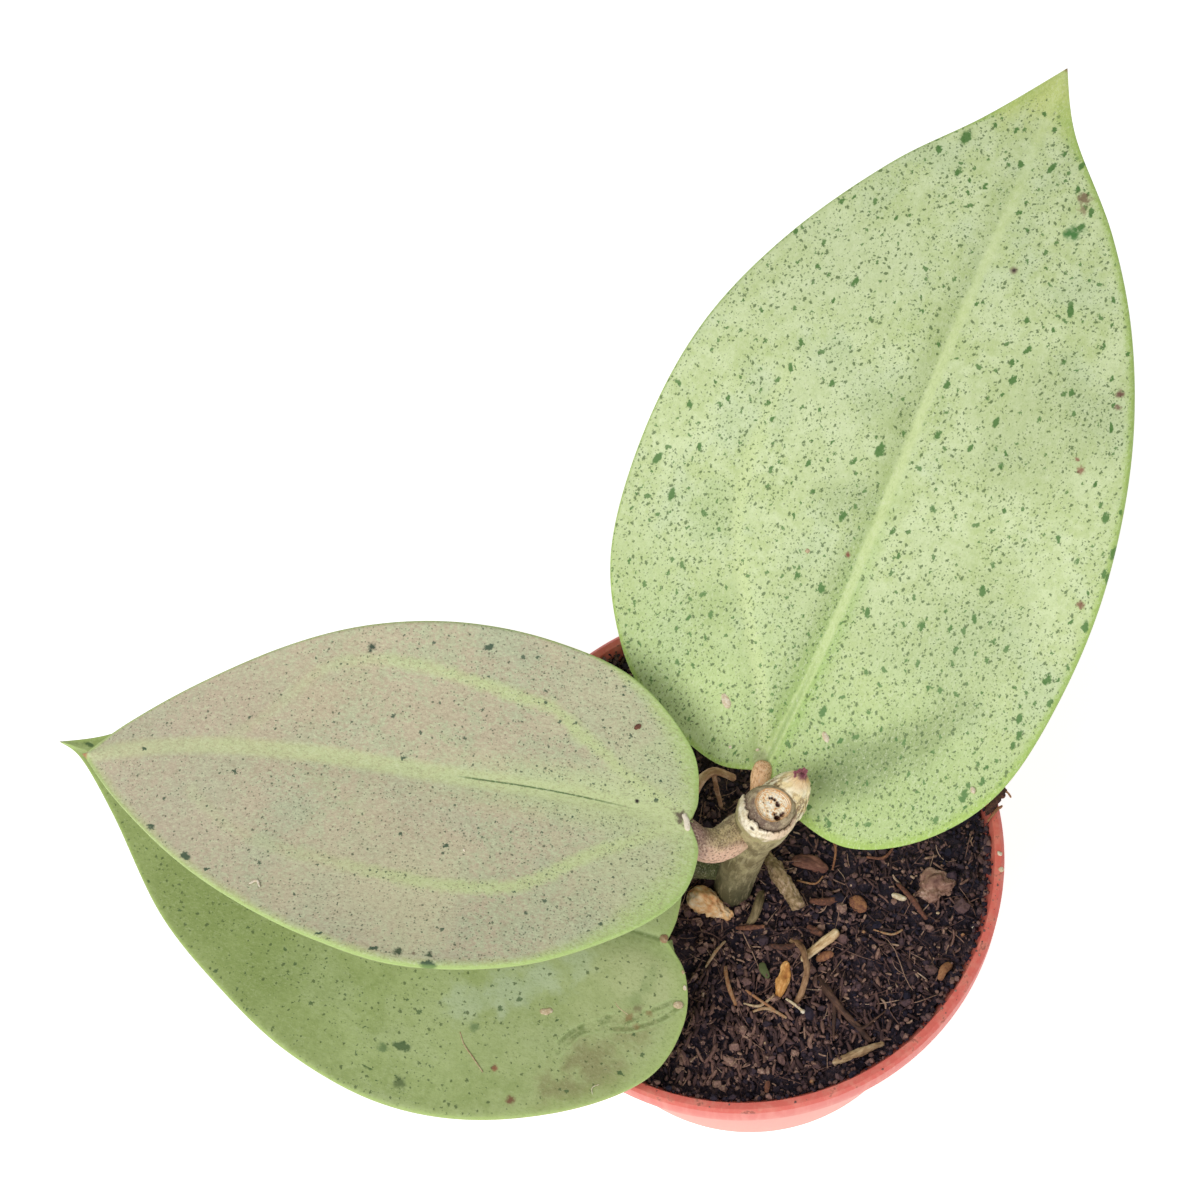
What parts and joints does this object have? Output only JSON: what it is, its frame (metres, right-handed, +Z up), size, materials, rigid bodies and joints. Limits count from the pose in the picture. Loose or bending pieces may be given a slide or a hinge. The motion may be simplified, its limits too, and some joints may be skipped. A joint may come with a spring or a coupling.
{
  "type": "potted hoya plant",
  "caption": "Young hoya in a small round tapered nursery pot: broad heart-based waxy leaves on a cut stem, standing in dark fibrous soil.",
  "frame": {"origin": "middle of the pot's flat base, on the surface it stands on", "axes": "+Z up the pot's axis; the low front of the view is -Y, and +X is to its right"},
  "size_m": [0.1482, 0.119, 0.1014],
  "materials": {
    "pot_plastic": "satin moulded terracotta-red plastic",
    "soil": "loose dark peat and coir fibre",
    "stem_skin": "matt olive-green bark with a grey-brown ring at the cut",
    "bud_husk": "cream striped husk with a purple-brown tip",
    "leaf_silver": "waxy silver-green with dark green flecks",
    "leaf_taupe": "waxy pinkish taupe with a green margin",
    "leaf_green": "waxy mid green",
    "cork": "corky orange-beige",
    "old_bark": "weathered olive bark",
    "dry_fibre": "dry straw and root",
    "dark_bark": "dark bark and root"
  },
  "bodies": {
    "root": {"pot": "pot_plastic", "soil": "soil", "stem": "stem_skin", "bud": "bud_husk", "leaf_right": "leaf_silver", "leaf_left": "leaf_taupe", "leaf_low": "leaf_green", "corky_stub": "cork", "old_stub": "old_bark", "olive_twig": "old_bark", "straw": "dry_fibre", "orange_flake": "cork", "curled_root": "dry_fibre", "dark_root": "dark_bark", "rim_root": "dry_fibre", "bark_chip": "dark_bark", "red_bark": "dark_bark", "dry_root": "dry_fibre"}
  },
  "joints": []
}
